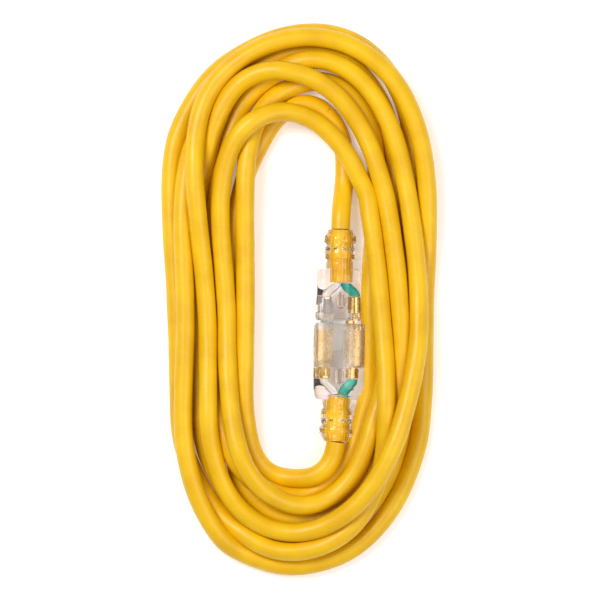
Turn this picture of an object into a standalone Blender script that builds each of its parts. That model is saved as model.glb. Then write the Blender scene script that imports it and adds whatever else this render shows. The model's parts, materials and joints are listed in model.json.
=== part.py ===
"""Grounded outdoor extension cord, wound in an oblong hank that lies flat, with its clear plug pushed
into its clear connector in the middle of the hank.

World: metres, +Z up, origin on the floor under the middle of the hank, +Y along the hank.
The plug and the connector are modelled in a frame of their own, whose origin is midway between their
faces: +X towards the ground pin, +Y the way the plug pulls out, +Z up. All sizes here are in millimetres
until they reach the mesh.
"""
import math

import bmesh
import bpy
from mathutils import Matrix, Vector

MM = 0.001
GAP = 0.3  # between two pieces that touch
PAST = 2.0  # how far a cutter runs past the face it opens

# ---- the cord and its hank ----
CORD_D = 9.7  # jacket of a three-core 12 AWG cord
HANK_W = 140.2
HANK_L = 284.4
HANK_H = 29.0
HANK_END = 86.7  # length of each rounded end of the outline
HANK_ROUND = 5.0  # radius of the section's corners
HOLE_X = 4.85  # the open middle lies a little right of the centre
HOLE_W = 58.7
HOLE_TOP = 93.3
HOLE_BOTTOM = -103.0
HOLE_END = 50.0
LEAD_END_Z = 6.6  # height of the leads where they go in among the lowest turns
POCKET_L = 19.0  # long enough for a lead's whole end, whichever way it slants into the hank

# ---- where the mated pair lies ----
MATE_X = 19.7
MATE_Y = -11.2
LEAN = math.radians(1.28)  # the pair leans this much clockwise from +Y
FACE_GAP = 1.5  # between the plug's face and the connector's when pushed home

# ---- contacts, to the 15 A grounded pattern ----
BLADE_PITCH = 12.7
GROUND_OFFSET = 11.9  # from the line of the blades to the ground pin
BLADE_W = 6.35
BLADE_T = 1.5
BLADE_OUT = 17.9  # how far a blade stands out of the face
PIN_D = 4.8
PIN_OUT = 20.6
BLADE_U = -GROUND_OFFSET / 2
GROUND_U = GROUND_OFFSET / 2

# ---- conductors ----
WIRE_D = 3.9
COPPER_D = 2.4
CRIMP_BORE = COPPER_D + 2 * GAP
CRIMP_D = CRIMP_BORE + 1.4
CRIMP_SEAM = 22.0  # half of the angle that a crimp's seam leaves open
STRIP_W = 0.8 * CRIMP_D  # of the strip of metal that runs into a crimp
CRIMP_L = 4.8
STRANDS_IN = 3.3  # bare strands held in a crimp
CRIMP_LEVEL = BLADE_PITCH / 2 - BLADE_T / 2 - 0.1 - CRIMP_BORE / 2  # height of a blade's crimp over the axis
CORE_GAP = 0.5  # at each end of a core
CORE_POINTS = 10
CORE_STRAIGHT = 0.08  # share of a core that is straight at each end
WIRE_GAP = 0.43  # between two cores inside the jacket
WIRE_RING = (WIRE_D + WIRE_GAP) / math.sqrt(3.0)  # the three cores lie on this radius

# ---- the plug ----
PLUG_BODY_L = 26.4
PLUG_RELIEF_L = 20.0
BRIDGE_T = 4.0
BRIDGE_LEFT = -10.2
BRIDGE_RIGHT = 9.4
BRIDGE_H = BLADE_PITCH + 6.7
BRIDGE_ROUND = (3.0, 8.2)  # its corners by the blades and by the ground pin
PLUG_ROUND = (4.5, 9.5)
PLUG_CHAMBER_W = 19.2
PLUG_CHAMBER_H = BLADE_PITCH + 3.9
PLUG_CHAMBER_ROUND = (2.0, 4.0)
PLUG_CUT_BACK = 6.7  # the jacket ends this far inside the body

# ---- the connector ----
CONN_BODY_L = 38.8
CONN_RELIEF_L = 21.4
INSERT_L = 22.5
INSERT_W = 22.0
INSERT_H = BLADE_PITCH + 8.5
INSERT_ROUND = (4.0, 8.5)
CONN_ROUND = (5.5, 11.0)
CONN_WALL = 2.4  # the body's wall over the insert, where it is thickest
AXIS_Z = INSERT_H / 2 + CONN_WALL  # half the connector's height, so that its underside lies on the floor
SLOT_FACE = 3.2  # thickness of the insert's front wall
SLOT_CLEAR = 0.35  # round a blade or the pin, in the front wall
CONTACT_T = 0.6
CONTACT_L = 15.5
CONTACT_CLEAR = 0.35  # round a contact, in its chamber
CONN_CHAMBER_W = 20.6
CONN_CHAMBER_H = BLADE_PITCH + 6.9
CONN_CHAMBER_ROUND = (4.0, 6.0)
CONN_CUT_BACK = 2.6
SLEEVE_SEAM = 14.0  # half of the angle that the ground sleeve leaves open
FLARE = 0.25  # a contact's mouth opens out by this much on each side

# ---- power lamps ----
LAMP_D = 4.2
LAMP_L = 7.0
LAMP_LEAD_D = 0.7
LAMP_LEAD_L = 1.2
RESISTOR_D = 2.6
RESISTOR_L = 6.0

PLUG_FACE = FACE_GAP / 2
CONN_FACE = -FACE_GAP / 2
PLUG_BACK = PLUG_FACE + PLUG_BODY_L
PLUG_END = PLUG_BACK + PLUG_RELIEF_L
CONN_BACK = CONN_FACE - CONN_BODY_L
CONN_END = CONN_BACK - CONN_RELIEF_L
BORE_D = CORD_D + 2 * GAP

# body sections: (share of the body's length from its face, left, right, height over what it holds)
PLUG_SECTIONS = (
    (0.0, -11.3, 10.7, 1.2),
    (0.05, -12.1, 11.5, 2.1),
    (0.22, -12.1, 11.5, 2.1),
    (0.45, -11.5, 11.2, 1.4),
    (0.70, -11.3, 10.9, 1.1),
    (0.88, -11.7, 10.6, 1.4),
    (0.97, -11.5, 10.2, 1.2),
    (1.0, -10.6, 9.4, 0.3),
)
CONN_SECTIONS = (
    (0.0, -11.7, 12.9, 1.5),
    (0.03, -12.5, 13.8, CONN_WALL),
    (0.35, -12.6, 13.9, CONN_WALL),
    (0.75, -12.3, 13.9, 2.2),
    (0.86, -12.1, 13.5, 1.9),
    (0.95, -11.7, 12.1, 1.3),
    (1.0, -10.7, 10.4, 0.2),
)
# strain relief: (share of its length from the body, radius)
PLUG_RELIEF = (
    (0.0, 7.0), (0.17, 7.0), (0.19, 6.5), (0.23, 6.5), (0.26, 7.7), (0.40, 7.9), (0.54, 7.6),
    (0.58, 7.0), (0.63, 7.0), (0.67, 8.1), (0.74, 8.4), (0.83, 8.1), (0.93, 6.9), (1.0, 6.0),
)
CONN_RELIEF = (
    (0.0, 7.5), (0.13, 7.5), (0.16, 6.8), (0.22, 6.8), (0.26, 8.0), (0.42, 8.2), (0.57, 7.9),
    (0.60, 7.3), (0.64, 7.3), (0.67, 8.6), (0.75, 8.9), (0.86, 8.3), (0.95, 6.9), (1.0, 6.1),
)
WINDOW_ROWS = (0.33, 0.50, 0.76)  # along the relief
WINDOW_L = 1.7
WINDOW_W = 5.0
RELIEF_IN = 4.0  # how far the strain relief starts inside the body

# the leads' own points: (x, y, z) in the world, from the strain relief to the hank
PLUG_LEAD_ROUTE = (
    (20.76, 36.24, 13.0), (20.90, 42.4, 12.9), (21.6, 50.0, 12.0), (22.6, 58.0, 9.9),
    (23.3, 66.5, 8.0), (23.2, 75.0, 7.0), (21.9, 83.0, LEAD_END_Z), (19.8, 90.0, LEAD_END_Z),
)
CONN_LEAD_ROUTE = (
    (18.33, -72.43, 13.0), (17.9, -77.0, 12.8), (15.9, -83.4, 11.5), (11.6, -88.7, 9.6),
    (5.3, -92.2, 7.9), (-1.6, -93.4, 6.9), (-8.0, -92.6, LEAD_END_Z), (-13.4, -90.4, LEAD_END_Z),
)
LEAD_STEPS = 3  # points of the tube for each stretch between two points of the route

COLOURS = {
    "jacket": ((0.95, 0.56, 0.02), 0.38, 0.0),
    "clear": ((0.78, 0.74, 0.76), 0.12, 0.0),
    "insulator": ((0.82, 0.80, 0.78), 0.3, 0.0),
    "nickel": ((0.62, 0.60, 0.57), 0.25, 1.0),
    "brass": ((0.78, 0.57, 0.25), 0.28, 1.0),
    "copper": ((0.80, 0.38, 0.20), 0.3, 1.0),
    "black_pvc": ((0.02, 0.02, 0.02), 0.4, 0.0),
    "white_pvc": ((0.85, 0.84, 0.81), 0.4, 0.0),
    "green_pvc": ((0.01, 0.36, 0.28), 0.4, 0.0),
    "lamp_glass": ((0.95, 0.55, 0.30), 0.1, 0.0),
    "resistor_body": ((0.72, 0.60, 0.42), 0.5, 0.0),
}


# ---- scene and materials ----

def clear_scene():
    for obj in list(bpy.data.objects):
        bpy.data.objects.remove(obj, do_unlink=True)


def material(name):
    found = bpy.data.materials.get(name)
    if found:
        return found
    colour, roughness, metallic = COLOURS[name]
    made = bpy.data.materials.new(name)
    made.use_nodes = True
    shader = made.node_tree.nodes["Principled BSDF"]
    shader.inputs["Base Color"].default_value = (*colour, 1.0)
    shader.inputs["Roughness"].default_value = roughness
    shader.inputs["Metallic"].default_value = metallic
    return made


def mating_frame(name):
    """An empty midway between the two faces, turned with the pair."""
    empty = bpy.data.objects.new(name, None)
    bpy.context.scene.collection.objects.link(empty)
    empty.location = (MATE_X * MM, MATE_Y * MM, AXIS_Z * MM)
    empty.rotation_euler = (0.0, 0.0, -LEAN)
    return empty


def add_object(name, mesh, colour, parent=None):
    obj = bpy.data.objects.new(name, mesh)
    bpy.context.scene.collection.objects.link(obj)
    if colour:
        mesh.materials.append(material(colour))
    obj.parent = parent
    return obj


def smooth(mesh, angle=35.0):
    mesh.shade_smooth()
    mesh.set_sharp_from_angle(angle=math.radians(angle))


def mesh_from(name, build, *args):
    """A mesh in metres from a function that fills a bmesh in millimetres."""
    bm = bmesh.new()
    build(bm, *args)
    bmesh.ops.recalc_face_normals(bm, faces=bm.faces)
    bmesh.ops.scale(bm, vec=(MM, MM, MM), verts=bm.verts)
    mesh = bpy.data.meshes.new(name)
    bm.to_mesh(mesh)
    bm.free()
    smooth(mesh)
    return mesh


# ---- shapes that fill a bmesh ----

def skin(bm, rings, closed=False):
    """Joins rings of points, each as long as the last, into one closed body."""
    rows = [[bm.verts.new(point) for point in ring] for ring in rings]
    count = len(rows[0])
    pairs = list(zip(rows, rows[1:]))
    if closed:
        pairs.append((rows[-1], rows[0]))
    for low, high in pairs:
        for i in range(count):
            j = (i + 1) % count
            bm.faces.new((low[i], low[j], high[j], high[i]))
    if not closed:
        bm.faces.new(reversed(rows[0]))
        bm.faces.new(rows[-1])


def lathe(bm, profile, centre, sides=16):
    """A turned body along +Y: profile is (y, radius), centre is (x, z)."""
    rings = []
    for y, radius in profile:
        ring = []
        for i in range(sides):
            turn = 2 * math.pi * i / sides
            ring.append((centre[0] + radius * math.cos(turn), y, centre[1] + radius * math.sin(turn)))
        rings.append(ring)
    skin(bm, rings)


def rounded_outline(left, right, half_height, round_left, round_right, steps=4):
    """(x, z) points of a rectangle whose left and right corners have their own radii."""
    points = []
    corners = (
        (right, half_height, round_right, 0.0),
        (left, half_height, round_left, 90.0),
        (left, -half_height, round_left, 180.0),
        (right, -half_height, round_right, 270.0),
    )
    room = 0.97 * min(half_height, (right - left) / 2)
    for x, z, wanted, start in corners:
        radius = min(wanted, room)
        cx = x - math.copysign(radius, x - (left + right) / 2)
        cz = z - math.copysign(radius, z)
        for i in range(steps + 1):
            turn = math.radians(start + 90.0 * i / steps)
            points.append((cx + radius * math.cos(turn), cz + radius * math.sin(turn)))
    return points


def prism(bm, outline, low, high):
    """An (x, z) outline pulled along Y from low to high."""
    skin(bm, [[(x, y, z) for x, z in outline] for y in (low, high)])


def box(bm, low, high):
    ring = ((low[0], low[2]), (high[0], low[2]), (high[0], high[2]), (low[0], high[2]))
    prism(bm, ring, low[1], high[1])


def body_rings(face, length, sections, held, round_left, round_right):
    """Cross-sections of a moulded body; length is negative for one that runs down the axis.
    held is half the height of the piece that it is moulded round."""
    rings = []
    for share, left, right, wall in sections:
        outline = rounded_outline(left, right, held + wall, round_left, round_right)
        rings.append([(x, face + share * length, z) for x, z in outline])
    return rings


# ---- modifiers ----

def cutter(name, mesh, parent=None):
    obj = add_object(name, mesh, None, parent)
    obj.hide_render = True
    obj.display_type = "WIRE"
    return obj


def combine(obj, other, operation):
    modifier = obj.modifiers.new(other.name, "BOOLEAN")
    modifier.operation = operation
    modifier.object = other
    modifier.solver = "EXACT"


def cut(obj, name, build, *args):
    combine(obj, cutter(name, mesh_from(name, build, *args), obj.parent), "DIFFERENCE")


def join(obj, name, build, *args):
    combine(obj, cutter(name, mesh_from(name, build, *args), obj.parent), "UNION")


# ---- cords and wires ----

def smooth_route(points, steps):
    """Points on one smooth curve through the given ones."""
    given = [Vector(p) for p in points]
    ends = [2 * given[0] - given[1]] + given + [2 * given[-1] - given[-2]]
    route = []
    for a, b, c, d in zip(ends, ends[1:], ends[2:], ends[3:]):
        for i in range(steps):
            t = i / steps
            route.append(
                0.5 * (2 * b + (c - a) * t + (2 * a - 5 * b + 4 * c - d) * t * t
                       + (3 * b - 3 * c + d - a) * t * t * t)
            )
    route.append(given[-1])
    return route


def tube(name, points, diameter, colour, parent=None, steps=2, resolution=2):
    """A cord along a smooth curve through the points, closed at both ends."""
    route = smooth_route(points, steps)
    curve = bpy.data.curves.new(name, "CURVE")
    curve.dimensions = "3D"
    curve.bevel_depth = diameter / 2 * MM
    curve.bevel_resolution = resolution
    curve.use_fill_caps = True
    spline = curve.splines.new("POLY")
    spline.points.add(len(route) - 1)
    for point, place in zip(spline.points, route):
        point.co = (*(place * MM), 1.0)
    curve.materials.append(material(colour))
    obj = bpy.data.objects.new(name, curve)
    bpy.context.scene.collection.objects.link(obj)
    obj.parent = parent
    return obj


def pocket(obj, name, route):
    """A round hole in the hank that a lead's end goes into; it ends flat, one gap past the lead."""
    end, before = Vector(route[-1]), Vector(route[-2])
    way = (end - before).normalized()
    mesh = mesh_from(name, lathe, ((-POCKET_L, BORE_D / 2), (GAP, BORE_D / 2)), (0.0, 0.0))
    place = way.to_track_quat("Y", "Z").to_matrix().to_4x4()
    place.translation = end * MM
    mesh.transform(place)
    combine(obj, cutter(name, mesh), "DIFFERENCE")


# ---- the hank ----

def hank_outline(width, top, bottom, centre, end, steps=12):
    """(x, y) round an oblong with elliptical ends, turning left from its right side."""
    points = []
    for first, middle in ((0.0, top - end), (180.0, bottom + end)):
        for i in range(steps + 1):
            turn = math.radians(first + 180.0 * i / steps)
            points.append((centre + width / 2 * math.cos(turn), middle + end * math.sin(turn)))
    return points


def hank(bm):
    outer = hank_outline(HANK_W, HANK_L / 2, -HANK_L / 2, 0.0, HANK_END)
    inner = hank_outline(HOLE_W, HOLE_TOP, HOLE_BOTTOM, HOLE_X, HOLE_END)
    rings = []
    for (xo, yo), (xi, yi) in zip(outer, inner):
        across = Vector((xo - xi, yo - yi))
        length = across.length
        across /= length
        section = rounded_outline(0.0, length, HANK_H / 2, HANK_ROUND, HANK_ROUND, 2)
        rings.append([(xi + across.x * s, yi + across.y * s, HANK_H / 2 + z) for s, z in section])
    skin(bm, rings, closed=True)


def build_cord():
    obj = add_object("cord_hank", mesh_from("cord_hank", hank), "jacket")
    pocket(obj, "pocket_plug_lead", PLUG_LEAD_ROUTE)
    pocket(obj, "pocket_connector_lead", CONN_LEAD_ROUTE)
    tube("plug_lead", PLUG_LEAD_ROUTE, CORD_D, "jacket", steps=LEAD_STEPS)
    tube("connector_lead", CONN_LEAD_ROUTE, CORD_D, "jacket", steps=LEAD_STEPS)


# ---- pieces that the plug and the connector share ----

def overmould(name, parent, face, length, sections, held, relief_length, relief, rounds, chambers):
    """The clear moulded body with its strain relief, hollow round what it holds.
    length and relief_length are negative for the connector, which runs down the axis."""
    rings = body_rings(face, length, sections, held, *rounds)
    obj = add_object(name, mesh_from(name, skin, rings), "clear", parent)
    back = face + length
    way = math.copysign(1.0, length)
    profile = [(back - way * RELIEF_IN, relief[0][1])]
    profile += [(back + share * relief_length, radius) for share, radius in relief]
    join(obj, name + "_relief", lathe, profile, (0.0, 0.0), 20)
    for i, (outline, low, high) in enumerate(chambers):
        cut(obj, f"{name}_chamber_{i}", prism, outline, low, high)
    right_through = max(radius for _, radius in relief) + PAST
    for i, share in enumerate(WINDOW_ROWS):
        place = back + share * relief_length
        half = WINDOW_L / 2
        reach = (WINDOW_W / 2, right_through) if i % 2 == 0 else (right_through, WINDOW_W / 2)
        cut(obj, f"{name}_windows_{i}", box,
            (-reach[0], place - half, -reach[1]), (reach[0], place + half, reach[1]))
    return obj


def round_outline(diameter, centre=(0.0, 0.0), sides=20):
    turns = [2 * math.pi * i / sides for i in range(sides)]
    return [(centre[0] + diameter / 2 * math.cos(t), centre[1] + diameter / 2 * math.sin(t)) for t in turns]


def crimp_barrel(bm, centre, low, high):
    """An open-seamed barrel: a C section with its gap towards the axis of the pair."""
    away = 1.0 if centre[1] >= 0 else -1.0
    sides = 10
    first, sweep = CRIMP_SEAM - 90.0, 360.0 - 2 * CRIMP_SEAM
    turns = [math.radians(first + sweep * i / sides) for i in range(sides + 1)]
    walls = []
    for r in (CRIMP_D / 2, CRIMP_BORE / 2):
        walls.append([(centre[0] + r * math.cos(t), centre[1] + away * r * math.sin(t)) for t in turns])
    outer, inner = walls
    prism(bm, outer + inner[::-1], low, high)


def core_start(turn, y):
    """Where a core leaves the jacket; turn is its angle round the cord's axis."""
    angle = math.radians(turn)
    return (WIRE_RING * math.cos(angle), y, WIRE_RING * math.sin(angle))


def build_core(side, colour, parent, start, mouth, way):
    """One insulated core, from the jacket's cut end to its crimp, and the bare strands inside the crimp.
    start is (x, y, z) in the jacket and mouth is the crimp's; way is +1 where the cord lies up the axis."""
    first, end = Vector(start), Vector((mouth[0], mouth[1] + way * CORE_GAP, mouth[2]))
    route = []
    for i in range(CORE_POINTS + 1):
        t = i / CORE_POINTS
        turning = min(1.0, max(0.0, (t - CORE_STRAIGHT) / (1.0 - 2 * CORE_STRAIGHT)))
        aside = turning * turning * (3 - 2 * turning)
        route.append((first.x + (end.x - first.x) * aside, first.y + (end.y - first.y) * t,
                      first.z + (end.z - first.z) * aside))
    tube(f"{side}_wire_{colour}", route, WIRE_D, f"{colour}_pvc", parent, steps=1)
    copper = mesh_from(
        f"{side}_copper_{colour}", lathe,
        sorted(((end[1] - way * GAP, COPPER_D / 2), (mouth[1] - way * STRANDS_IN, COPPER_D / 2))),
        (mouth[0], mouth[2]), 10,
    )
    add_object(f"{side}_copper_{colour}", copper, "copper", parent)


def build_cord_end(name, parent, low, high):
    mesh = mesh_from(name, lathe, ((low, CORD_D / 2), (high, CORD_D / 2)), (0.0, 0.0), 20)
    add_object(name, mesh, "jacket", parent)


def build_lamp(side, parent, start, way, centre, resistor_centre):
    """The neon lamp and its resistor, each turned, with a stub of its lead; way is towards the cord."""
    radius = LAMP_D / 2
    lamp = [(0.0, 0.5), (0.5, 1.3), (1.3, radius), (LAMP_L, radius), (LAMP_L + 0.4, LAMP_LEAD_D / 2),
            (LAMP_L + 0.4 + LAMP_LEAD_L, LAMP_LEAD_D / 2)]
    half = RESISTOR_D / 2
    lead, last = LAMP_LEAD_L, LAMP_LEAD_L + RESISTOR_L
    resistor = [(0.0, LAMP_LEAD_D / 2), (lead, LAMP_LEAD_D / 2), (lead + 0.3, half), (last - 0.3, half),
                (last, LAMP_LEAD_D / 2), (last + lead, LAMP_LEAD_D / 2)]
    for name, profile, place, colour in (
        (f"{side}_lamp", lamp, centre, "lamp_glass"),
        (f"{side}_resistor", resistor, resistor_centre, "resistor_body"),
    ):
        mesh = mesh_from(name, lathe, [(start + way * y, r) for y, r in profile], place, 12)
        add_object(name, mesh, colour, parent)


# ---- the plug ----

PLUG_CRIMP_START = PLUG_FACE + BRIDGE_T + 3.0
PLUG_CRIMP_MOUTH = PLUG_CRIMP_START + CRIMP_L
PLUG_JACKET_CUT = PLUG_BACK - PLUG_CUT_BACK


def build_blade(name, parent, side):
    """A flat blade with a chamfered tip, carried back into a crimp; side is +1 for the upper one."""
    level = side * BLADE_PITCH / 2
    tip = PLUG_FACE - BLADE_OUT
    half_t, half_w = BLADE_T / 2, BLADE_W / 2
    rings = []
    for y, thick, wide in (
        (tip, half_t * 0.45, half_w * 0.72),
        (tip + 0.9, half_t, half_w * 0.9),
        (tip + 2.2, half_t, half_w),
        (PLUG_CRIMP_START + 1.0, half_t, half_w),
        (PLUG_CRIMP_START + 2.2, half_t, STRIP_W / 2),
        (PLUG_CRIMP_MOUTH - 1.0, half_t, STRIP_W / 2),
    ):
        rings.append([(BLADE_U - wide, y, level - thick), (BLADE_U + wide, y, level - thick),
                      (BLADE_U + wide, y, level + thick), (BLADE_U - wide, y, level + thick)])
    obj = add_object(name, mesh_from(name, skin, rings), "nickel", parent)
    join(obj, name + "_crimp", crimp_barrel, (BLADE_U, side * CRIMP_LEVEL),
         PLUG_CRIMP_START, PLUG_CRIMP_MOUTH)


def build_ground_pin(parent):
    """A round pin with a domed tip, hollow at its back for the ground core's strands."""
    tip, radius = PLUG_FACE - PIN_OUT, PIN_D / 2
    dome = [(tip + radius * (1 - math.cos(math.radians(a))), radius * math.sin(math.radians(a)))
            for a in (12, 35, 60, 90)]
    back = PLUG_CRIMP_MOUTH
    profile = dome + [(back, radius)]
    obj = add_object("plug_ground_pin", mesh_from("plug_ground_pin", lathe, profile, (GROUND_U, 0.0), 20),
                     "brass", parent)
    cut(obj, "ground_pin_bore", lathe, ((PLUG_CRIMP_START, CRIMP_BORE / 2), (back + PAST, CRIMP_BORE / 2)),
        (GROUND_U, 0.0), 12)


def build_bridge(parent):
    """The block that holds the blades and the pin at their spacing; its face is the plug's face."""
    outline = rounded_outline(BRIDGE_LEFT, BRIDGE_RIGHT, BRIDGE_H / 2, *BRIDGE_ROUND, 3)
    obj = add_object("plug_bridge", mesh_from("plug_bridge", prism, outline, PLUG_FACE, PLUG_FACE + BRIDGE_T),
                     "insulator", parent)
    for i, side in enumerate((1, -1)):
        level = side * BLADE_PITCH / 2
        cut(obj, f"bridge_slot_{i}", box,
            (BLADE_U - BLADE_W / 2 - GAP, PLUG_FACE - PAST, level - BLADE_T / 2 - GAP),
            (BLADE_U + BLADE_W / 2 + GAP, PLUG_FACE + BRIDGE_T + PAST, level + BLADE_T / 2 + GAP))
    cut(obj, "bridge_pin_hole", prism, round_outline(PIN_D + 2 * GAP, (GROUND_U, 0.0)),
        PLUG_FACE - PAST, PLUG_FACE + BRIDGE_T + PAST)


def build_plug():
    parent = mating_frame("plug_frame")
    half_w, half_h = PLUG_CHAMBER_W / 2, PLUG_CHAMBER_H / 2
    seat = rounded_outline(BRIDGE_LEFT - GAP, BRIDGE_RIGHT + GAP, BRIDGE_H / 2 + GAP,
                           *(r + GAP for r in BRIDGE_ROUND), 3)
    chambers = (
        (seat, PLUG_FACE - PAST, PLUG_FACE + BRIDGE_T + GAP),
        (rounded_outline(-half_w, half_w, half_h, *PLUG_CHAMBER_ROUND, 3), PLUG_FACE + PAST,
         PLUG_JACKET_CUT + 1.0),
        (round_outline(BORE_D), PLUG_JACKET_CUT - PAST, PLUG_END + PAST),
    )
    overmould("plug_body", parent, PLUG_FACE, PLUG_BODY_L, PLUG_SECTIONS, BRIDGE_H / 2, PLUG_RELIEF_L,
              PLUG_RELIEF, PLUG_ROUND, chambers)
    build_bridge(parent)
    build_blade("plug_blade_neutral", parent, 1)
    build_blade("plug_blade_line", parent, -1)
    build_ground_pin(parent)
    build_cord_end("plug_cord_end", parent, PLUG_JACKET_CUT, PLUG_END)
    start_y = PLUG_JACKET_CUT - CORE_GAP
    build_core("plug", "white", parent, core_start(120.0, start_y),
               (BLADE_U, PLUG_CRIMP_MOUTH, CRIMP_LEVEL), 1)
    build_core("plug", "black", parent, core_start(240.0, start_y),
               (BLADE_U, PLUG_CRIMP_MOUTH, -CRIMP_LEVEL), 1)
    build_core("plug", "green", parent, core_start(0.0, start_y), (GROUND_U, PLUG_CRIMP_MOUTH, 0.0), 1)
    build_lamp("plug", parent, PLUG_FACE + BRIDGE_T + 1.9, 1, (0.9, 5.2), (0.4, -4.6))


# ---- the connector ----

CONTACT_FRONT = CONN_FACE - SLOT_FACE - CONTACT_CLEAR
CONTACT_BACK = CONTACT_FRONT - CONTACT_L
CONN_CRIMP_START = CONN_FACE - INSERT_L - 0.6
CONN_CRIMP_MOUTH = CONN_CRIMP_START - CRIMP_L
CONN_JACKET_CUT = CONN_BACK + CONN_CUT_BACK
BLADE_ROOM = BLADE_T + 2 * GAP  # between the two leaves of a contact
LEAVES_T = BLADE_ROOM + 2 * CONTACT_T
PIN_ROOM = PIN_D + 2 * GAP
SLEEVE_D = PIN_ROOM + 2 * CONTACT_T + 0.2


def build_insert(parent):
    """The block behind the connector's face: three openings in its front, a chamber behind each."""
    half_w, half_h = INSERT_W / 2, INSERT_H / 2
    back = CONN_FACE - INSERT_L
    outline = rounded_outline(-half_w, half_w, half_h, *INSERT_ROUND, 3)
    obj = add_object("connector_insert", mesh_from("connector_insert", prism, outline, back, CONN_FACE),
                     "insulator", parent)
    inner_front = CONN_FACE - SLOT_FACE
    for i, side in enumerate((1, -1)):
        level = side * BLADE_PITCH / 2
        for part, half_u, half_z, low, high in (
            ("slot", BLADE_W / 2 + SLOT_CLEAR, BLADE_T / 2 + SLOT_CLEAR, inner_front - 1.0, CONN_FACE + PAST),
            ("chamber", BLADE_W / 2 + CONTACT_CLEAR, LEAVES_T / 2 + CONTACT_CLEAR, back - PAST, inner_front),
        ):
            cut(obj, f"insert_{part}_{i}", box, (BLADE_U - half_u, low, level - half_z),
                (BLADE_U + half_u, high, level + half_z))
    cut(obj, "insert_pin_hole", prism, round_outline(PIN_D + 2 * SLOT_CLEAR, (GROUND_U, 0.0)),
        inner_front - 1.0, CONN_FACE + PAST)
    cut(obj, "insert_pin_chamber", prism, round_outline(SLEEVE_D + 2 * CONTACT_CLEAR, (GROUND_U, 0.0)),
        back - PAST, inner_front)


def build_contact(name, parent, side):
    """Two spring leaves either side of a blade, joined by a web that runs back into a crimp."""
    level = side * BLADE_PITCH / 2
    half_u, inner, outer = BLADE_W / 2, BLADE_ROOM / 2, LEAVES_T / 2
    web = CONTACT_BACK + 2 * CONTACT_T
    profile = [
        (CONTACT_FRONT, -outer - FLARE / 2), (CONTACT_BACK, -outer), (CONTACT_BACK, outer),
        (CONTACT_FRONT, outer + FLARE / 2), (CONTACT_FRONT, inner + FLARE), (CONTACT_FRONT - 2.0, inner),
        (web, inner), (web, -inner), (CONTACT_FRONT - 2.0, -inner), (CONTACT_FRONT, -inner - FLARE),
    ]
    rings = [[(BLADE_U + u, y, level + z) for y, z in profile] for u in (-half_u, half_u)]
    obj = add_object(name, mesh_from(name, skin, rings), "brass", parent)
    strip_level = side * (CRIMP_LEVEL + CRIMP_D / 2 - 0.5)
    join(obj, name + "_strip", box,
         (BLADE_U - STRIP_W / 2, CONN_CRIMP_MOUTH + 1.0, strip_level - 0.4),
         (BLADE_U + STRIP_W / 2, web - 0.4, strip_level + 0.4))
    join(obj, name + "_crimp", crimp_barrel, (BLADE_U, side * CRIMP_LEVEL),
         CONN_CRIMP_MOUTH, CONN_CRIMP_START)


def sleeve(bm, low, high):
    """A split spring sleeve: a C section that is open towards the blades."""
    sides = 14
    first, sweep = 180.0 + SLEEVE_SEAM, 360.0 - 2 * SLEEVE_SEAM
    turns = [math.radians(first + sweep * i / sides) for i in range(sides + 1)]
    outer = [(GROUND_U + SLEEVE_D / 2 * math.cos(t), SLEEVE_D / 2 * math.sin(t)) for t in turns]
    inner = [(GROUND_U + PIN_ROOM / 2 * math.cos(t), PIN_ROOM / 2 * math.sin(t)) for t in turns]
    prism(bm, outer + inner[::-1], low, high)


def build_ground_contact(parent):
    back = PLUG_FACE - PIN_OUT - 1.0
    name = "connector_contact_ground"
    obj = add_object(name, mesh_from(name, sleeve, back - 1.0, CONTACT_FRONT), "brass", parent)
    disc, stem = (SLEEVE_D + PIN_ROOM) / 4, (CRIMP_D + CRIMP_BORE) / 4  # half way through each wall
    tail = ((CONN_CRIMP_START - 1.0, stem), (back - 2.2, stem), (back - 1.4, disc), (back, disc))
    join(obj, "ground_contact_tail", lathe, tail, (GROUND_U, 0.0), 14)
    join(obj, "ground_contact_crimp", crimp_barrel, (GROUND_U, 0.0), CONN_CRIMP_MOUTH, CONN_CRIMP_START)


def build_connector():
    parent = mating_frame("connector_frame")
    half_w, half_h = CONN_CHAMBER_W / 2, CONN_CHAMBER_H / 2
    seat_w, seat_h = INSERT_W / 2 + GAP, INSERT_H / 2 + GAP
    back = CONN_FACE - INSERT_L
    chambers = (
        (rounded_outline(-seat_w, seat_w, seat_h, *(r + GAP for r in INSERT_ROUND), 3), back - GAP,
         CONN_FACE + PAST),
        (rounded_outline(-half_w, half_w, half_h, *CONN_CHAMBER_ROUND, 3), CONN_JACKET_CUT - 1.0,
         back + PAST),
        (round_outline(BORE_D), CONN_END - PAST, CONN_JACKET_CUT + PAST),
    )
    overmould("connector_body", parent, CONN_FACE, -CONN_BODY_L, CONN_SECTIONS, INSERT_H / 2,
              -CONN_RELIEF_L, CONN_RELIEF, CONN_ROUND, chambers)
    build_insert(parent)
    build_contact("connector_contact_neutral", parent, 1)
    build_contact("connector_contact_line", parent, -1)
    build_ground_contact(parent)
    build_cord_end("connector_cord_end", parent, CONN_END, CONN_JACKET_CUT)
    start_y = CONN_JACKET_CUT + CORE_GAP
    mouth = CONN_CRIMP_MOUTH
    build_core("connector", "white", parent, core_start(120.0, start_y), (BLADE_U, mouth, CRIMP_LEVEL), -1)
    build_core("connector", "black", parent, core_start(240.0, start_y), (BLADE_U, mouth, -CRIMP_LEVEL), -1)
    build_core("connector", "green", parent, core_start(0.0, start_y), (GROUND_U, mouth, 0.0), -1)
    build_lamp("connector", parent, back - 0.6, -1, (1.0, 6.9), (1.0, -6.9))


clear_scene()
build_cord()
build_plug()
build_connector()
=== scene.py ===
"""The looks of a wound extension cord whose clear plug is pushed into its clear connector.

The cord is one settled run of eight turns. The plug, the connector and what they hold are
placed in a local frame midway between the two faces, as the CAD nodes are.
"""

import json
import math

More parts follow.
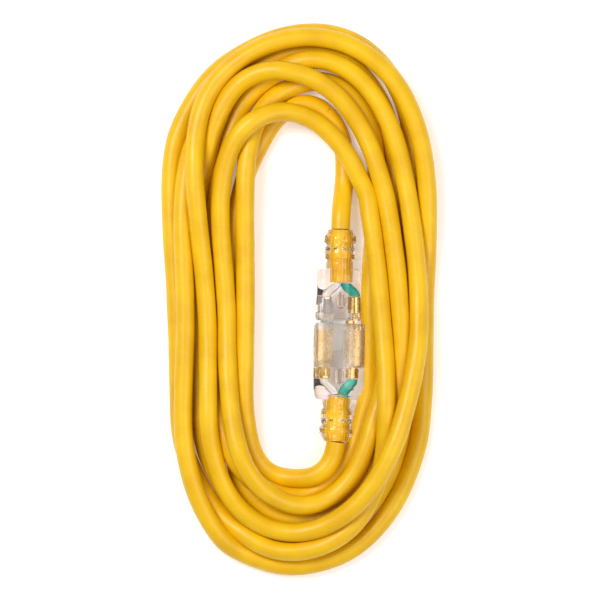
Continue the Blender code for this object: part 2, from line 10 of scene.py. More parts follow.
import bmesh
import bpy
import numpy as np
from mathutils import Matrix, Vector


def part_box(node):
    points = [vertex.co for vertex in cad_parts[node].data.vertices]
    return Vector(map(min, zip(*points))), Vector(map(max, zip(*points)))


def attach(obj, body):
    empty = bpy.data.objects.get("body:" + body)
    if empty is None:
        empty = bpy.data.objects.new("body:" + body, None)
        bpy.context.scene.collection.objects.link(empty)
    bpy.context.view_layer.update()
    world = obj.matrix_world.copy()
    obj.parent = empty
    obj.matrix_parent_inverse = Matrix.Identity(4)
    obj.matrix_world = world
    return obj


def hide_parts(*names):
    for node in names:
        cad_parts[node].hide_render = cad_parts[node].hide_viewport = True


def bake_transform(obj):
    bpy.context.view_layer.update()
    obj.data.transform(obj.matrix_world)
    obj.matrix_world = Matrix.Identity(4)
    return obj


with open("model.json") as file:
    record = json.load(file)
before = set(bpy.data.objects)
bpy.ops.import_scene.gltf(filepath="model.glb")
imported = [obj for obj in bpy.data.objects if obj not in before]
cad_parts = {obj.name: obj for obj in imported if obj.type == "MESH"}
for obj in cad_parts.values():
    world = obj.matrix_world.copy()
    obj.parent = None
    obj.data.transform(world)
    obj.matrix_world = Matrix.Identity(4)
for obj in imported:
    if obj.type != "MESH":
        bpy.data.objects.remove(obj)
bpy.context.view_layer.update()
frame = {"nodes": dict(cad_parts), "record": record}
nodes = frame["nodes"]

MM = 0.001

# ---- the cord, in millimetres ----
CORD_D = 9.7
CORD_R = CORD_D / 2
STEP = 5.0  # between two points of the cord as it settles
TUBE_STEP = 2.5  # between two rings of the finished tube
TUBE_SIDES = 24
LEVEL = 0.88 * CORD_D  # a strand's rise over the one that it lies on, before it settles

# ribs round the hank: (x, y) on its outline and the way in, from the right side round to the top
RIBS = (
    ((68.3, 0.0), (-1.0, 0.0)), ((69.9, 40.8), (-1.0, 0.0)), ((67.8, 76.5), (-1.0, 0.0)),
    ((53.6, 113.2), (-0.74, -0.67)), ((30.6, 137.9), (-0.4, -0.92)), ((2.6, 142.4), (-0.15, -0.99)),
    ((-25.5, 133.6), (0.28, -0.96)), ((-51.0, 116.3), (0.76, -0.65)), ((-68.3, 76.5), (1.0, 0.0)),
    ((-70.4, 40.8), (1.0, 0.0)), ((-68.6, 0.0), (1.0, 0.0)), ((-66.8, -40.8), (1.0, 0.0)),
    ((-65.5, -76.5), (1.0, 0.0)), ((-48.5, -118.3), (0.65, 0.76)), ((-19.4, -139.5), (0.13, 0.99)),
    ((5.1, -141.3), (-0.1, 0.99)), ((29.6, -132.6), (-0.31, 0.95)), ((49.0, -112.2), (-0.59, 0.81)),
    ((62.5, -81.6), (-1.0, 0.0)), ((68.1, -40.8), (-1.0, 0.0)),
)
FIRST_RIB = 2  # each turn starts at the upper right, where the plug's lead joins the hank

# each turn's depth inside the outline at every rib, and the level that it lies on there
TURNS = (
    ((44.4, 43.4, 41.3, 36.2, 37.2, 42.8, 45.1, 36.2, 35.4, 33.7,
      30.6, 25.5, 28.6, 26.0, 25.5, 23.5, 24.0, 15.6, 18.1, 24.5), "00000000000000000111"),
    ((31.1, 32.0, 33.0, 25.7, 16.3, 15.3, 18.4, 15.8, 15.0, 14.3,
      15.3, 21.9, 16.8, 15.8, 15.3, 14.3, 14.5, 14.3, 14.3, 13.3), "11122100000000000000"),
    ((8.7, 4.9, 4.9, 4.9, 5.1, 4.9, 4.9, 4.9, 4.9, 4.9,
      5.1, 12.2, 11.0, 12.8, 14.8, 17.3, 19.1, 23.5, 27.8, 34.7), "00000000000011111111"),
    ((43.9, 46.3, 51.3, 44.5, 38.6, 36.7, 31.1, 29.1, 32.6, 31.4,
      32.6, 35.2, 38.8, 33.9, 32.9, 30.9, 29.1, 23.0, 23.5, 21.4), "11112211112211111000"),
    ((18.9, 16.3, 15.3, 14.3, 14.3, 12.2, 10.5, 10.2, 10.5, 7.4,
      6.4, 4.9, 4.9, 4.9, 4.9, 4.9, 5.1, 4.9, 4.9, 4.9), "00000011111000000000"),
    ((4.9, 4.9, 7.9, 6.8, 6.1, 9.2, 14.0, 17.1, 21.4, 20.7,
      21.4, 19.1, 21.9, 21.4, 22.2, 19.9, 18.6, 11.5, 7.4, 13.3), "01111122111111222221"),
    ((17.6, 17.3, 18.8, 16.8, 22.2, 25.8, 28.6, 26.0, 25.3, 24.5,
      28.1, 33.7, 40.8, 40.0, 42.1, 40.3, 36.7, 31.4, 31.6, 31.6), "11110000001100000000"),
    ((27.5, 26.3, 26.3, 32.9, 31.9, 37.2, 41.3, 42.8, 40.5, 37.0,
      37.0, 40.0, 47.4), "0001111111111"),
)
# the two leads' own points, from each strain relief to the hank
PLUG_LEAD = (
    (20.76, 36.24, 13.0), (20.90, 42.4, 12.9), (21.6, 50.0, 12.0), (22.6, 58.0, 9.9),
    (23.3, 66.5, 8.0),
)
CONN_LEAD = (
    (5.3, -92.2, 7.9), (11.6, -88.7, 9.6), (15.9, -83.4, 11.5), (17.9, -77.0, 12.8),
    (18.33, -72.43, 13.0),
)
PLUG_LEAD_END_Y = 95.0  # the plug's lead is a piece of its own as far as this

# ---- how the cord settles ----
SETTLE_STEPS = 400
HOLD = 0.10  # pull towards the lane, each step
OUTER_HOLD = 0.35
SINK = 0.15  # fall, each step
STIFF = ((1, 0.03), (3, 0.03), (6, 0.012))  # (points apart, weight)
STRETCH = 0.2  # how much of a step's wrong length is made good, each step
LOOK_EVERY = 15  # steps between two searches for strands that are near each other
LOOK_WITHIN = 1.6  # diameters apart that count as near
SLIP_ALONG = 0.8  # share of the pull along the cord that is let go
PART_PASSES = 3  # times that touching strands are parted, each step
SPREAD = np.array((0.3, 0.3, 0.7))  # how readily two strands part, along each axis
SHARED = 0.6  # of a point's pushes, how many are taken as one
LIFT = 0.3  # how much of the way out of the pair's room may be upwards
FIXED_ENDS = 3  # points at each end that don't move
START_IN_RELIEF, END_IN_RELIEF = 9, 12  # points at the ends that the pair's room doesn't push
SOFTEN = 6  # passes that even out the settled route
TWIST_L = 95.0  # the cores' lay: one whole turn of the three under the jacket
TWIST_H = 0.05  # how far they show
RIPPLE_L, RIPPLE_H = 7.0, 0.03  # the jacket's own unevenness along the cord
NEXT_ALONG = 5  # points this near along the cord don't push each other

# ---- the mated pair, in its own frame ----
MATE = Vector((19.7, -11.2, 13.0))
LEAN = math.radians(1.28)
# what the cord keeps clear of, along the pair: (from, to, radius, middle). The last three are
# where the plug's strain relief goes when the plug is pulled out.
PAIR_ROOM = (
    (-61.0, -39.5, 9.0, 0.0), (-40.0, 0.0, 13.3, 0.65), (0.0, 27.2, 11.9, -0.2),
    (27.0, 47.5, 8.6, 0.0), (47.5, 62.5, 9.4, 0.0), (62.5, 66.5, 9.3, 0.0),
    (66.5, 71.0, 8.4, 0.0),
)
PLUG_FACE = 0.75
PLUG_BODY_L = 26.4
PLUG_RELIEF_L = 20.0
CONN_FACE = -0.75
CONN_BODY_L = 38.8
CONN_RELIEF_L = 21.4
PLUG_ROUND = (4.5, 9.5)  # its corners by the blades and by the ground pin
CONN_ROUND = (5.5, 11.0)
# body sections: (share of the body's length from its face, left, right, half height)
PLUG_SECTIONS = (
    (0.0, -11.3, 10.7, 10.9), (0.05, -12.1, 11.5, 11.8), (0.22, -12.1, 11.5, 11.8),
    (0.45, -11.5, 11.2, 11.1), (0.70, -11.3, 10.9, 10.8), (0.88, -11.7, 10.6, 11.1),
    (0.97, -11.5, 10.2, 10.9), (1.0, -10.6, 9.4, 10.0),
)
CONN_SECTIONS = (
    (0.0, -11.7, 12.9, 12.1), (0.03, -12.5, 13.8, 13.0), (0.35, -12.6, 13.9, 13.0),
    (0.75, -12.3, 13.9, 12.8), (0.86, -12.1, 13.5, 12.5), (0.95, -11.7, 12.1, 11.9),
    (1.0, -10.7, 10.4, 10.8),
)
# strain relief: (share of its length from the body, radius)
PLUG_RELIEF = (
    (0.0, 7.0), (0.17, 7.0), (0.19, 6.5), (0.23, 6.5), (0.26, 7.7), (0.40, 7.9), (0.54, 7.6),
    (0.58, 7.0), (0.63, 7.0), (0.67, 8.1), (0.74, 8.4), (0.83, 8.1), (0.93, 6.9), (1.0, 6.0),
)
CONN_RELIEF = (
    (0.0, 7.5), (0.13, 7.5), (0.16, 6.8), (0.22, 6.8), (0.26, 8.0), (0.42, 8.2), (0.57, 7.9),
    (0.60, 7.3), (0.64, 7.3), (0.67, 8.6), (0.75, 8.9), (0.86, 8.3), (0.95, 6.9), (1.0, 6.1),
)
WINDOW_ROWS = (0.33, 0.50, 0.76)  # along the relief
WINDOW_L = 1.7
WINDOW_W = 5.0
WINDOW_ROUND = 0.8
WINDOW_OUT = 12.0  # a window's cutter ends outside the relief
WINDOW_PAST_BORE = 1.0  # and starts inside the bore
BORE_R = CORD_R - 0.05  # the relief is bonded to the jacket, so its bore's wall is under the skin
PLUG_JACKET_CUT = 20.45  # the jacket ends here inside the plug
CONN_JACKET_CUT = -36.95
RELIEF_IN = 4.0  # how far the strain relief starts inside the body
RING_GAP = 0.6  # between two rings of a moulded body
MOULD_SIDES = 56
STRAND_D = 0.46
STRAND_SIDES = 8
STRAND_LAYERS = ((1, 0.0), (6, 0.46), (12, 0.92))  # (strands, radius of their circle)
STRAND_STEPS = 8
STRAND_LAY = 3.0  # length along which a strand turns by one radian
CORE_COLOURS = ("black", "white", "green")


# ---- the cord's route ----

def smooth_curve(points, step):
    """Points about `step` apart on a smooth curve through the given ones."""
    given = np.asarray(points, float)
    p = np.vstack((2 * given[0] - given[1], given, 2 * given[-1] - given[-2]))
    found = []
    for a, b, c, d in zip(p, p[1:], p[2:], p[3:]):
        count = max(2, int(round(np.linalg.norm(c - b) / (step / 4))))
        t = np.linspace(0, 1, count, endpoint=False)[:, None]
        found.append(0.5 * (2 * b + (c - a) * t + (2 * a - 5 * b + 4 * c - d) * t ** 2
                            + (3 * b - 3 * c + d - a) * t ** 3))
    found.append(given[-1:])
    return spaced(np.vstack(found), step)


def spaced(points, step):
    """The same line with its points evenly apart, close to `step`."""
    run = np.concatenate(([0.0], np.cumsum(np.linalg.norm(np.diff(points, axis=0), axis=1))))
    at = np.linspace(0, run[-1], int(round(run[-1] / step)) + 1)
    return np.stack([np.interp(at, run, column) for column in points.T], axis=1)


def wound_lanes():
    """The wound cord as it is laid, from the plug's strain relief to the connector's."""
    laid = []
    for depths, levels in TURNS:
        for k, depth in enumerate(depths):
            (x, y), way = RIBS[(FIRST_RIB + k) % len(RIBS)]
            long = math.hypot(*way)
            laid.append((x + way[0] / long * depth, y + way[1] / long * depth,
                         CORD_R + int(levels[k]) * LEVEL))
    return smooth_curve(list(PLUG_LEAD) + laid + list(CONN_LEAD), STEP)


def bend_back(points):
    """The move that takes the kinks out of a stiff cord."""
    move = np.zeros_like(points)
    for k, weight in STIFF:
        move[2 * k:-2 * k] -= weight * (
            points[:-4 * k] - 4 * points[k:-3 * k] + 6 * points[2 * k:-2 * k]
            - 4 * points[3 * k:-k] + points[4 * k:])
    return move


def push_apart(points, i, j):
    """Moves every two strands that overlap away from each other."""
    between = points[i] - points[j]
    apart = np.linalg.norm(between, axis=1)
    hit = apart < CORD_D
    a, b, way, far = i[hit], j[hit], between[hit], np.maximum(apart[hit], 1e-3)
    wanted = (CORD_D - far) * far / np.maximum((way * way * SPREAD).sum(1), 1e-3)
    push = way * SPREAD * np.minimum(wanted, 1.0)[:, None] * 0.5
    shift, count = np.zeros_like(points), np.zeros(len(points))
    for index, sign in ((a, 1), (b, -1)):
        np.add.at(shift, index, sign * push)
        np.add.at(count, index, 1)
    return shift / np.maximum(1, count * SHARED)[:, None]


def clear_pair(points, free):
    """Moves strands out of the room that the plug and the connector take up."""
    along_way = np.array((math.sin(LEAN), math.cos(LEAN), 0.0))
    across_way = np.array((math.cos(LEAN), -math.sin(LEAN), 0.0))
    offset = points - np.array(MATE)
    along, across = offset @ along_way, offset @ across_way
    for low, high, radius, middle in PAIR_ROOM:
        side, up = across - middle, offset[:, 2]
        far = np.maximum(np.hypot(side, up), 1e-6)
        hit = free & (along > low) & (along < high) & (far < radius + CORD_R)
        out = (radius + CORD_R - far[hit]) / far[hit]
        points[hit] += across_way * (side[hit] * out)[:, None]
        points[hit, 2] += LIFT * up[hit] * out
    return points


def holds(lanes):
    """How firmly each point keeps to its lane: most where it lies on the hank's outline."""
    ribs = [(x, y) for (x, y), _ in RIBS]
    outline = smooth_curve(ribs + ribs[:1], 2.0)
    depth = np.sqrt(((lanes[:, None, :2] - outline) ** 2).sum(2)).min(1)
    return np.where(depth < CORD_R + 1.0, OUTER_HOLD, HOLD)[:, None]


def settle(lanes):
    """Lets the laid cord sink until its strands rest on each other and on the floor."""
    points, count = lanes.copy(), len(lanes)
    loose = np.ones(count, bool)
    loose[:FIXED_ENDS] = loose[-FIXED_ENDS:] = False
    free = np.ones(count, bool)
    free[:START_IN_RELIEF] = free[-END_IN_RELIEF:] = False
    ahead = np.gradient(lanes, axis=0)
    ahead /= np.linalg.norm(ahead, axis=1)[:, None]
    hold = holds(lanes)
    for step in range(SETTLE_STEPS):
        if step % LOOK_EVERY == 0:
            gaps = points[:, None, :] - points[None, :, :]
            near = (gaps ** 2).sum(2) < (CORD_D * LOOK_WITHIN) ** 2
            i, j = np.nonzero(np.triu(near, NEXT_ALONG))
        move = bend_back(points)
        stretch = np.diff(points, axis=0)
        size = np.linalg.norm(stretch, axis=1)[:, None]
        pull = stretch / size * (size - STEP) * STRETCH
        move[:-1] += pull
        move[1:] -= pull
        off = lanes - points
        off -= ahead * (off * ahead).sum(1)[:, None] * SLIP_ALONG
        move[:, :2] += off[:, :2] * hold
        move[:, 2] -= SINK
        points = points + np.where(loose[:, None], np.clip(move, -1, 1), 0)
        for _ in range(PART_PASSES):
            points = points + np.where(loose[:, None], push_apart(points, i, j), 0)
            points[loose, 2] = np.maximum(points[loose, 2], CORD_R)
        points = clear_pair(points, free)
    return points


# ---- meshes ----

def obj_of(name, mesh, material, body=None):
    obj = bpy.data.objects.new(name, mesh)
    bpy.context.scene.collection.objects.link(obj)
    mesh.materials.append(material)
    if body:
        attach(obj, body)
    return obj


def shade(mesh, angle=40.0):
    mesh.shade_smooth()
    mesh.set_sharp_from_angle(angle=math.radians(angle))
    return mesh


def tube_mesh(name, route, radius_at, sides=TUBE_SIDES):
    """A tube along the route, in metres; radius_at(run, turn) is its radius in millimetres."""
    ahead = np.gradient(route, axis=0)
    ahead /= np.linalg.norm(ahead, axis=1)[:, None]
    side = np.cross(ahead[0], (0.0, 0.0, 1.0))
    turns = np.linspace(0, 2 * math.pi, sides, endpoint=False)
    verts, run = [], 0.0
    for k, (place, way) in enumerate(zip(route, ahead)):
        side = side - way * (side @ way)
        side /= np.linalg.norm(side)
        up = np.cross(side, way)
        run += float(np.linalg.norm(place - route[k - 1])) if k else 0.0
        radius = radius_at(run, turns)
        verts.append(place + (radius * np.cos(turns))[:, None] * side
                     + (radius * np.sin(turns))[:, None] * up)
    verts = np.vstack(verts) * MM
    faces = []
    for k in range(len(route) - 1):
        for i in range(sides):
            a, b = k * sides + i, k * sides + (i + 1) % sides
            faces.append((a, b, b + sides, a + sides))
    faces.append(tuple(reversed(range(sides))))
    faces.append(tuple(range(len(verts) - sides, len(verts))))
    mesh = bpy.data.meshes.new(name)
    mesh.from_pydata(verts.tolist(), [], faces)
    return shade(mesh, 60.0)


def jacket_radius(run, turns):
    """The three cores under the jacket show as a faint long twist."""
    twist = TWIST_H * np.cos(3 * (turns - 2 * math.pi * run / TWIST_L))
    return CORD_R + twist + RIPPLE_H * math.sin(run / RIPPLE_L)


# ---- materials ----

def new_material(name):
    made = bpy.data.materials.new(name)
    made.use_nodes = True
    return made, made.node_tree, made.node_tree.nodes["Principled BSDF"]


def add(tree, kind, **values):
    node = tree.nodes.new(kind)
    for key, value in values.items():
        if key in node.inputs:
            node.inputs[key].default_value = value
        else:
            setattr(node, key, value)
    return node


def noise(tree, scale, detail=3.0, stretch=None):
    """Noise in object space, in waves per metre."""
    coords = add(tree, "ShaderNodeTexCoord")
    texture = add(tree, "ShaderNodeTexNoise", Scale=scale, Detail=detail)
    if stretch:
        mapping = add(tree, "ShaderNodeMapping", Scale=stretch)
        tree.links.new(coords.outputs["Object"], mapping.inputs["Vector"])
        tree.links.new(mapping.outputs["Vector"], texture.inputs["Vector"])
    else:
        tree.links.new(coords.outputs["Object"], texture.inputs["Vector"])
    return texture.outputs["Fac"]


def between(tree, factor, low, high, start=0.35, end=0.65):
    """A colour that goes from low to high as the factor goes from start to end."""
    ramp = add(tree, "ShaderNodeValToRGB")
    ramp.color_ramp.elements[0].position = start
    ramp.color_ramp.elements[1].position = end
    ramp.color_ramp.elements[0].color = (*low, 1.0)
    ramp.color_ramp.elements[1].color = (*high, 1.0)
    tree.links.new(factor, ramp.inputs["Fac"])
    return ramp.outputs["Color"]


def ranged(tree, factor, low, high):
    node = add(tree, "ShaderNodeMapRange")
    node.inputs["To Min"].default_value = low
    node.inputs["To Max"].default_value = high
    tree.links.new(factor, node.inputs["Value"])
    return node.outputs["Result"]


def bump(tree, shader, height, strength, distance):
    node = add(tree, "ShaderNodeBump", Strength=strength, Distance=distance)
    tree.links.new(height, node.inputs["Height"])
    tree.links.new(node.outputs["Normal"], shader.inputs["Normal"])


def plastic(name, dark, light, roughness, grain=900.0, bumpy=0.15, depth=0.0002):
    """Moulded or extruded plastic: a little uneven in colour and gloss, with a fine skin."""
    made, tree, shader = new_material(name)
    tree.links.new(between(tree, noise(tree, 60.0, 9.0), dark, light), shader.inputs["Base Color"])
    tree.links.new(ranged(tree, noise(tree, 250.0), *roughness), shader.inputs["Roughness"])
    bump(tree, shader, noise(tree, grain, 4.0), bumpy, depth)
    shader.inputs["IOR"].default_value = 1.5
    shader.inputs["Specular IOR Level"].default_value = 0.38
    return made


def metal(name, dark, light, roughness):
    made, tree, shader = new_material(name)
    shader.inputs["Metallic"].default_value = 1.0
    brushed = noise(tree, 300.0, 4.0, (1.0, 0.12, 1.0))
    tree.links.new(between(tree, brushed, dark, light), shader.inputs["Base Color"])
    tree.links.new(ranged(tree, noise(tree, 700.0), *roughness), shader.inputs["Roughness"])
    bump(tree, shader, noise(tree, 1500.0, 3.0, (1.0, 0.1, 1.0)), 0.05, 0.0001)
    return made


def clear_plastic(name, tint, roughness, ior=1.42, see=0.9, clarity=1.0):
    """Clear compound. Lamps shine straight through it, so that what it holds is lit."""
    made, tree, shader = new_material(name)
    shader.inputs["Transmission Weight"].default_value = clarity
    shader.inputs["IOR"].default_value = ior
    tree.links.new(between(tree, noise(tree, 90.0), *tint), shader.inputs["Base Color"])
    tree.links.new(ranged(tree, noise(tree, 200.0), *roughness), shader.inputs["Roughness"])
    bump(tree, shader, noise(tree, 260.0, 2.0), 0.12, 0.0004)
    out = tree.nodes["Material Output"]
    path = add(tree, "ShaderNodeLightPath")
    through = add(tree, "ShaderNodeBsdfTransparent", Color=(see, see * 0.99, see * 0.99, 1.0))
    mix = add(tree, "ShaderNodeMixShader")
    tree.links.new(path.outputs["Is Shadow Ray"], mix.inputs["Fac"])
    tree.links.new(shader.outputs["BSDF"], mix.inputs[1])
    tree.links.new(through.outputs["BSDF"], mix.inputs[2])
    tree.links.new(mix.outputs["Shader"], out.inputs["Surface"])
    return made


MATERIALS = {
    "cord_jacket": plastic("jacket", (0.76, 0.42, 0.002), (0.85, 0.51, 0.004), (0.30, 0.44), 700.0, 0.35,
                           0.0003),
    "clear_moulding": clear_plastic("clear_moulding", ((0.69, 0.58, 0.49), (0.79, 0.76, 0.78)), (0.03, 0.09),
                                    see=0.96),
    "insulating_block": clear_plastic("insulating_block", ((0.88, 0.85, 0.79), (0.94, 0.92, 0.87)),
                                      (0.08, 0.18), 1.28, 0.95, 0.90),
    "plated_blade": metal("plated_blade", (0.60, 0.57, 0.52), (0.78, 0.75, 0.70), (0.18, 0.32)),
    "brass_contact": metal("brass_contact", (0.72, 0.50, 0.18), (0.88, 0.66, 0.30), (0.18, 0.35)),
    "copper_strands": metal("copper_strands", (0.72, 0.30, 0.14), (0.90, 0.45, 0.25), (0.22, 0.38)),
    "core_black": plastic("core_black", (0.012, 0.012, 0.012), (0.03, 0.03, 0.03), (0.3, 0.45)),
    "core_white": plastic("core_white", (0.70, 0.69, 0.67), (0.80, 0.79, 0.77), (0.3, 0.45)),
    "core_green": plastic("core_green", (0.005, 0.30, 0.22), (0.015, 0.42, 0.32), (0.3, 0.45)),
    "lamp_glass": clear_plastic("lamp_glass", ((0.96, 0.88, 0.84), (0.98, 0.93, 0.90)), (0.03, 0.1), 1.2),
    "resistor_body": plastic("resistor_body", (0.66, 0.60, 0.50), (0.78, 0.73, 0.64), (0.4, 0.55)),
}


# ---- camera and cords ----

def build_camera():
    data = bpy.data.cameras.new("camera")
    camera = bpy.data.objects.new("camera", data)
    bpy.context.scene.collection.objects.link(camera)
    height, hank_top, seen = 1.6, 0.02, 0.306
    camera.location = (0.0, 0.0, height + hank_top)
    data.sensor_width = 36.0
    data.lens = data.sensor_width * height / seen
    data.clip_end = 20.0
    bpy.context.scene.camera = camera


def build_cord():
    route = spaced(settle(wound_lanes()), TUBE_STEP)
    for _ in range(SOFTEN):
        route[1:-1] = (route[:-2] + 2 * route[1:-1] + route[2:]) / 4
    seam = int(np.argmax(route[:, 1] > PLUG_LEAD_END_Y))
    lead, turns = route[:seam + 1], route[seam:]
    jacket = MATERIALS["cord_jacket"]

    cord = obj_of("wound_cord", tube_mesh("wound_cord", turns, jacket_radius), jacket)
    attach(cord, "cord")
    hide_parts("cord_hank", "connector_lead")

    flex = obj_of("plug_lead_cord", tube_mesh("plug_lead_cord", lead, jacket_radius), jacket)
    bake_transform(flex)
    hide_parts("plug_lead")
    return flex, lead


def declare_plug_lead():
    """Gathers the names of all that is shown on the end of the plug's own length of cord; nothing is done
    with the list.
    """
    pieces = ["plug_overmould"] + ["plug_strands_" + colour for colour in CORE_COLOURS]
    hidden = ("plug_lead", "plug_body", "plug_copper")
    pieces += [name for name in nodes if name.startswith("plug_") and not name.startswith(hidden)]


# ---- the clear plug and connector ----

def to_world(mesh):
    """From the pair's own frame, in millimetres, to the row frame in metres."""
    place = Matrix.Translation(MATE * MM) @ Matrix.Rotation(-LEAN, 4, "Z") @ Matrix.Scale(MM, 4)
    mesh.transform(place)
    return mesh


def ring_values(table, length):
    """Rows between those of the table, close enough that the surface reads as one curve."""
    shares = [row[0] for row in table]
    at = sorted(set(shares) | set(np.linspace(0, 1, int(length / RING_GAP)).round(4)))
    rows = [np.interp(at, shares, column) for column in zip(*(row[1:] for row in table))]
    for row in rows:
        soft = row.copy()
        soft[1:-1] = (row[:-2] + 2 * row[1:-1] + row[2:]) / 4
        row[2:-2] = soft[2:-2]
    return list(zip(at, *rows))


def rounded_outline(left, right, half_height, round_left, round_right, steps=10):
    """(x, z) points of a rectangle whose left and right corners have their own radii."""
    room = 0.97 * min(half_height, (right - left) / 2)
    points = []
    corners = ((right, half_height, round_right, 0), (left, half_height, round_left, 90),
               (left, -half_height, round_left, 180), (right, -half_height, round_right, 270))
    for x, z, wanted, start in corners:
        radius = min(wanted, room)
        cx = x - math.copysign(radius, x - (left + right) / 2)
        cz = z - math.copysign(radius, z)
        for i in range(steps + 1):
            turn = math.radians(start + 90.0 * i / steps)
            points.append((cx + radius * math.cos(turn), cz + radius * math.sin(turn)))
    return points


def skin(name, rings):
    """One closed body through rings of points, each as long as the last."""
    bm = bmesh.new()
    rows = [[bm.verts.new(point) for point in ring] for ring in rings]
    count = len(rows[0])
    for low, high in zip(rows, rows[1:]):
        for i in range(count):
            j = (i + 1) % count
            bm.faces.new((low[i], low[j], high[j], high[i]))
    bm.faces.new(rows[0])
    bm.faces.new(rows[-1])
    bmesh.ops.recalc_face_normals(bm, faces=bm.faces)
    mesh = bpy.data.meshes.new(name)
    bm.to_mesh(mesh)
    bm.free()
    return mesh


def turned(name, profile, centre=(0.0, 0.0), sides=MOULD_SIDES):
    """A turned body along the pair's axis; profile is (y, radius)."""
    rings = []
    for y, radius in profile:
        rings.append([(centre[0] + radius * math.cos(2 * math.pi * i / sides), y,
                       centre[1] + radius * math.sin(2 * math.pi * i / sides)) for i in range(sides)])
    return skin(name, rings)


def combined(mesh, tools):
    """The mesh after each (tool mesh, operation); the tools are thrown away."""
    base = bpy.data.objects.new("base", mesh)
    bpy.context.scene.collection.objects.link(base)
    helpers = []
    for k, (tool, operation) in enumerate(tools):
        helper = bpy.data.objects.new(f"helper_{k}", tool)
        bpy.context.scene.collection.objects.link(helper)
        helpers.append(helper)
        modifier = base.modifiers.new(helper.name, "BOOLEAN")
        modifier.operation, modifier.object, modifier.solver = operation, helper, "EXACT"
    bpy.context.view_layer.update()
    graph = bpy.context.evaluated_depsgraph_get()
    result = bpy.data.meshes.new_from_object(base.evaluated_get(graph))
    for obj in [base] + helpers:
        bpy.data.objects.remove(obj)
    return result


def window(name, y, turn):
    """A slot with rounded ends that goes in to the jacket from one side of the relief."""
    outline = rounded_outline(-WINDOW_W / 2, WINDOW_W / 2, WINDOW_L / 2, WINDOW_ROUND, WINDOW_ROUND, 5)
    heights = (BORE_R - WINDOW_PAST_BORE, WINDOW_OUT)
    rings = [[(x, y + z, height) for x, z in outline] for height in heights]
    mesh = skin(name, rings)
    mesh.transform(Matrix.Rotation(turn, 4, "Y"))
    return mesh


def overmould(name, face, length, sections, relief_length, relief, rounds, jacket_cut):
    """A clear moulded body with its strain relief: solid but for the jacket's bore and windows.
    length and relief_length are negative for the connector, which runs down the axis."""
    rings = []
    for share, left, right, half in ring_values(sections, abs(length)):
        rings.append([(x, face + share * length, z)
                      for x, z in rounded_outline(left, right, half, *rounds)])
    back, way = face + length, math.copysign(1.0, length)
    profile = [(back - way * RELIEF_IN, relief[0][1])]
    profile += [(back + share * relief_length, r) for share, r in ring_values(relief, abs(relief_length))]
    bore = [(jacket_cut - way * 0.2, BORE_R), (back + relief_length + way, BORE_R)]
    tools = [(turned(name + "_relief", profile), "UNION"), (turned(name + "_bore", bore), "DIFFERENCE")]
    for row, share in enumerate(WINDOW_ROWS):
        for k in range(4):
            turn = math.radians(90.0 * k + 45.0 * (row % 2))
            cutter = window(f"{name}_window_{row}_{k}", back + share * relief_length, turn)
            tools.append((cutter, "DIFFERENCE"))
    mesh = combined(skin(name, rings), tools)
    return shade(to_world(mesh), 35.0)


def build_moulding(end, *shape):
    body = "plug" if end == "plug" else "cord"
    obj = obj_of(end + "_overmould", overmould(end + "_overmould", *shape), MATERIALS["clear_moulding"], body)
    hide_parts(end + "_body")


def strand_bundle(name, low, high):
    """Bare strands, twisted together: one in the middle, six round it and twelve round those."""
    middle = (low + high) / 2
    half = (high[1] - low[1]) / 2
    around = np.linspace(0, 2 * math.pi, STRAND_SIDES, endpoint=False)
    edge = [Vector((STRAND_D / 2 * math.cos(a), 0, STRAND_D / 2 * math.sin(a))) for a in around]
    bm = bmesh.new()
    for count, radius in STRAND_LAYERS:
        for k in range(count):
            rows = []
            for step in range(STRAND_STEPS + 1):
                y = -half + 2 * half * step / STRAND_STEPS
                turn = 2 * math.pi * k / count + y / STRAND_LAY
                centre = middle + Vector((radius * math.cos(turn), y, radius * math.sin(turn)))
                rows.append([bm.verts.new(centre + way) for way in edge])
            for a, b in zip(rows, rows[1:]):
                for i in range(STRAND_SIDES):
                    j = (i + 1) % STRAND_SIDES
                    bm.faces.new((a[i], a[j], b[j], b[i]))
            bm.faces.new(rows[0])
            bm.faces.new(rows[-1])
    bmesh.ops.recalc_face_normals(bm, faces=bm.faces)
    bmesh.ops.scale(bm, vec=(MM, MM, MM), verts=bm.verts)
    mesh = bpy.data.meshes.new(name)
    bm.to_mesh(mesh)
    bm.free()
    return shade(mesh)


def build_strands():
    for end, body in (("plug", "plug"), ("connector", "cord")):
        for colour in CORE_COLOURS:
            node = f"{end}_copper_{colour}"
            low, high = (Vector(corner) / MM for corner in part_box(node))
            name = f"{end}_strands_{colour}"
            obj = obj_of(name, strand_bundle(name, low, high), MATERIALS["copper_strands"], body)
            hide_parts(node)


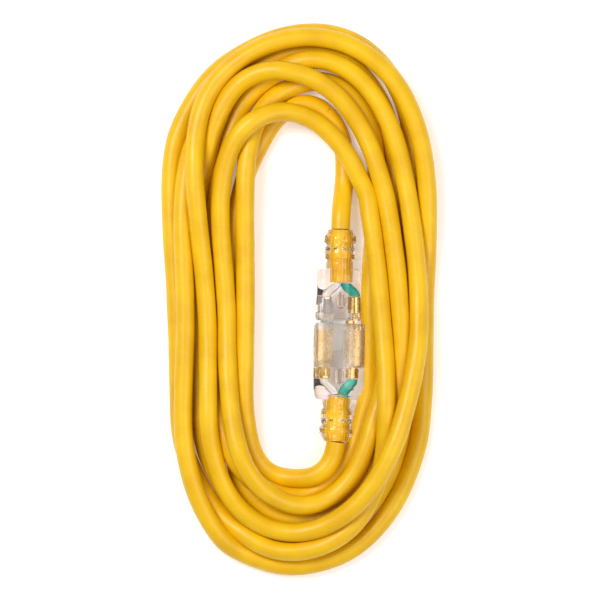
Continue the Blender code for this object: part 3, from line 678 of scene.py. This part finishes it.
def build_nodes():
    slots = {s["node"]: s["material_slot"] for s in frame["record"]["subparts"]}
    for name, node in nodes.items():
        mesh = node.data
        mesh.materials.clear()
        mesh.materials.append(MATERIALS[slots[name]])


# ---- the room ----

def build_stage():
    bm = bmesh.new()
    bmesh.ops.create_grid(bm, x_segments=1, y_segments=1, size=4.0)
    mesh = bpy.data.meshes.new("floor")
    bm.to_mesh(mesh)
    bm.free()
    made, _, shader = new_material("floor")
    shader.inputs["Base Color"].default_value = (0.95, 0.95, 0.95, 1.0)
    shader.inputs["Roughness"].default_value = 0.9
    shader.inputs["Emission Color"].default_value = (1.0, 1.0, 1.0, 1.0)
    shader.inputs["Emission Strength"].default_value = 0.22
    floor = bpy.data.objects.new("floor", mesh)
    mesh.materials.append(made)
    bpy.context.scene.collection.objects.link(floor)


def area_light(name, place, aim, size, power):
    data = bpy.data.lights.new(name, "AREA")
    data.shape = "RECTANGLE"
    data.size, data.size_y = size
    data.energy = power
    light = bpy.data.objects.new(name, data)
    bpy.context.scene.collection.objects.link(light)
    light.location = place
    light.rotation_euler = (Vector(aim) - Vector(place)).to_track_quat("-Z", "Y").to_euler()


def build_light():
    world = bpy.data.worlds.new("studio")
    world.use_nodes = True
    world.node_tree.nodes["Background"].inputs["Color"].default_value = (1.0, 1.0, 1.0, 1.0)
    world.node_tree.nodes["Background"].inputs["Strength"].default_value = 0.42
    bpy.context.scene.world = world
    area_light("key", (-0.45, 0.35, 0.95), (0.0, 0.0, 0.0), (0.45, 0.45), 7.8)
    area_light("fill", (0.6, -0.2, 0.9), (0.0, 0.0, 0.0), (0.7, 0.7), 4.6)


build_camera()
plug_lead_cord, plug_lead_route = build_cord()
build_moulding("plug", PLUG_FACE, PLUG_BODY_L, PLUG_SECTIONS, PLUG_RELIEF_L, PLUG_RELIEF, PLUG_ROUND,
               PLUG_JACKET_CUT)
build_moulding("connector", CONN_FACE, -CONN_BODY_L, CONN_SECTIONS, -CONN_RELIEF_L, CONN_RELIEF,
               CONN_ROUND, CONN_JACKET_CUT)
build_strands()
build_nodes()
declare_plug_lead()
build_stage()
build_light()
bpy.context.scene.view_settings.view_transform = "Standard"
